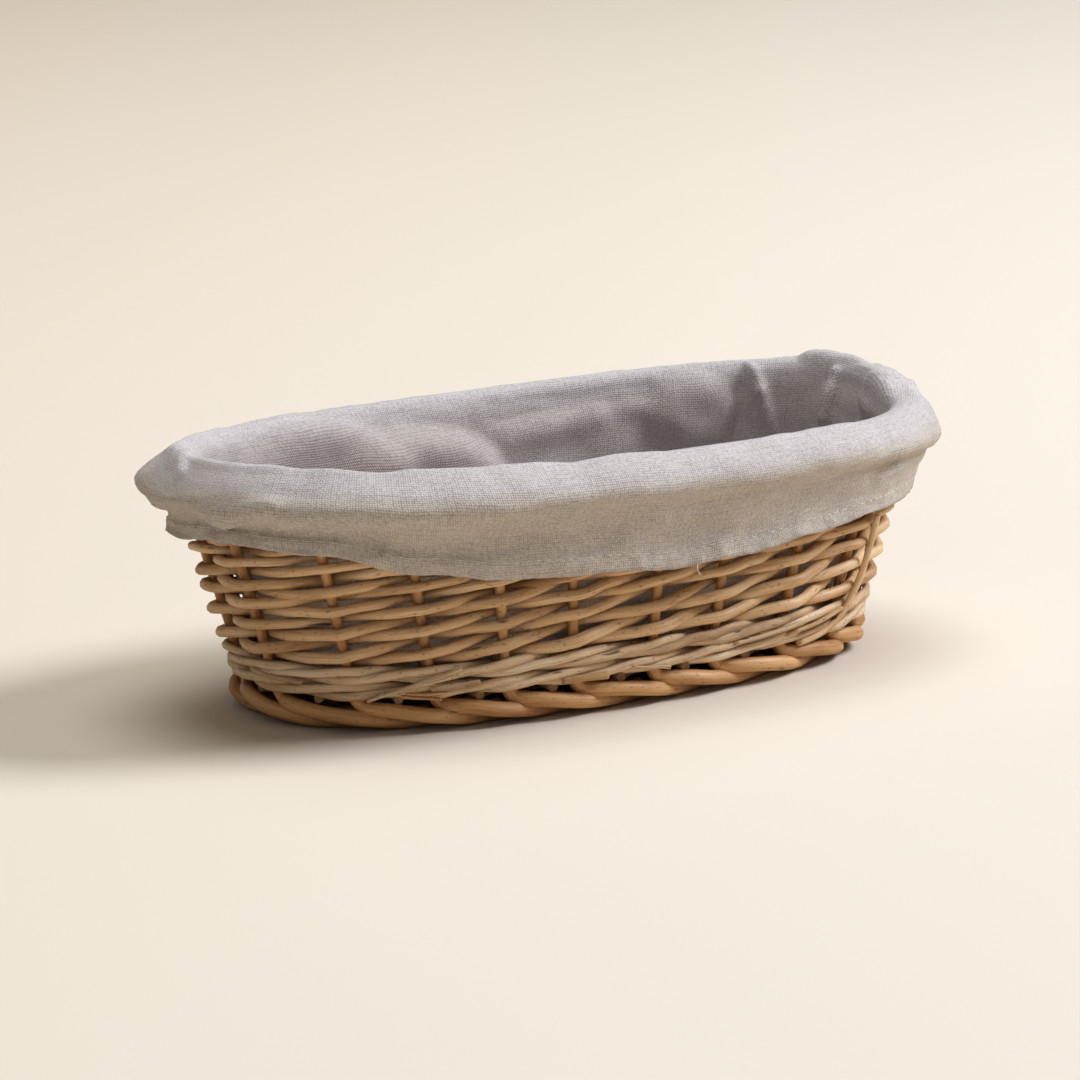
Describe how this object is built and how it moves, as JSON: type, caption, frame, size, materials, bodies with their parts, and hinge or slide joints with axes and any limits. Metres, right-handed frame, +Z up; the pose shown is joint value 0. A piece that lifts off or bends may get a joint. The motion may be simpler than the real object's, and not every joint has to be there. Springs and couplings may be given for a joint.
{
  "type": "proofing basket",
  "caption": "Oblong woven willow proofing basket with a rolled foot border, flared walls and a removable linen liner turned over the rim to hold dough.",
  "frame": {"origin": "middle of the footprint, on the surface that the basket stands on", "axes": "+X along the basket, +Y across it, +Z up"},
  "size_m": [0.2788, 0.1512, 0.0862],
  "materials": {
    "stake_willow": "golden buff willow, satin",
    "weaver_willow": "buff willow, satin",
    "wale_willow": "pale thin willow, matt",
    "base_willow": "buff willow, matt",
    "linen": "plain-woven natural grey linen"
  },
  "bodies": {
    "basket": {"stake_01": "stake_willow", "stake_02": "stake_willow", "stake_03": "stake_willow", "stake_04": "stake_willow", "stake_05": "stake_willow", "stake_06": "stake_willow", "stake_07": "stake_willow", "stake_08": "stake_willow", "stake_09": "stake_willow", "stake_10": "stake_willow", "stake_11": "stake_willow", "stake_12": "stake_willow", "stake_13": "stake_willow", "stake_14": "stake_willow", "stake_15": "stake_willow", "stake_16": "stake_willow", "stake_17": "stake_willow", "stake_18": "stake_willow", "stake_19": "stake_willow", "stake_20": "stake_willow", "stake_21": "stake_willow", "stake_22": "stake_willow", "weaver_row_01": "weaver_willow", "weaver_row_02": "weaver_willow", "weaver_row_03": "weaver_willow", "weaver_row_04": "weaver_willow", "weaver_row_05": "weaver_willow", "weaver_row_06": "weaver_willow", "weaver_row_07": "weaver_willow", "weaver_row_08": "weaver_willow", "weaver_row_09": "weaver_willow", "weaver_row_10": "weaver_willow", "weaver_row_11": "weaver_willow", "weaver_row_12": "weaver_willow", "wale_rod_01": "wale_willow", "wale_rod_02": "wale_willow", "wale_rod_03": "wale_willow", "wale_rod_04": "wale_willow", "wale_rod_05": "wale_willow", "wale_rod_06": "wale_willow", "base_long_stick_01": "base_willow", "base_long_stick_02": "base_willow", "base_long_stick_03": "base_willow", "base_long_stick_04": "base_willow", "base_long_stick_05": "base_willow", "base_cross_stick_01": "base_willow", "base_cross_stick_02": "base_willow", "base_cross_stick_03": "base_willow", "base_cross_stick_04": "base_willow", "base_cross_stick_05": "base_willow", "base_cross_stick_06": "base_willow", "base_weaver_01": "base_willow", "base_weaver_02": "base_willow"},
    "liner": {"liner_side_band": "linen", "liner_floor_panel": "linen"}
  },
  "joints": [
    {"name": "liner_lift", "type": "slide", "parent": "basket", "child": "liner", "axis": [0, 0, 1], "range_m": [0, 0.1], "deforming": ["liner_side_band"]}
  ]
}
